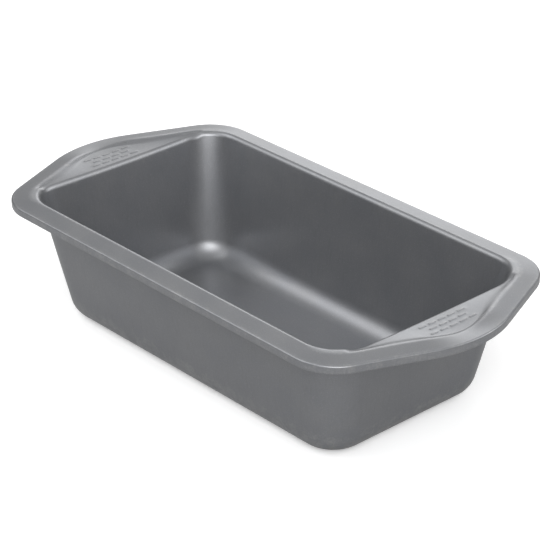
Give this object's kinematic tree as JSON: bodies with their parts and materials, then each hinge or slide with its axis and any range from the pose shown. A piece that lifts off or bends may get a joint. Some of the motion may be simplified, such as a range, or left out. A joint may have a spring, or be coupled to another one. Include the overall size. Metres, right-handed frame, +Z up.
{
  "type": "loaf pan",
  "caption": "Deep rectangular loaf pan with sloping walls, a wide rim, a handle at each end with a recessed grip panel, and a rolled edge round a steel wire.",
  "frame": {"origin": "centre of the flat base, on the surface that the pan stands on", "axes": "+Z up, +X along the pan towards one handle, +Y across the pan"},
  "size_m": [0.2972, 0.1534, 0.0692],
  "materials": {
    "coated_steel": "satin dark grey non-stick coating on steel",
    "rim_wire": "bright drawn steel wire"
  },
  "bodies": {
    "root": {"pan_shell": "coated_steel", "rim_wire": "rim_wire"}
  },
  "joints": []
}
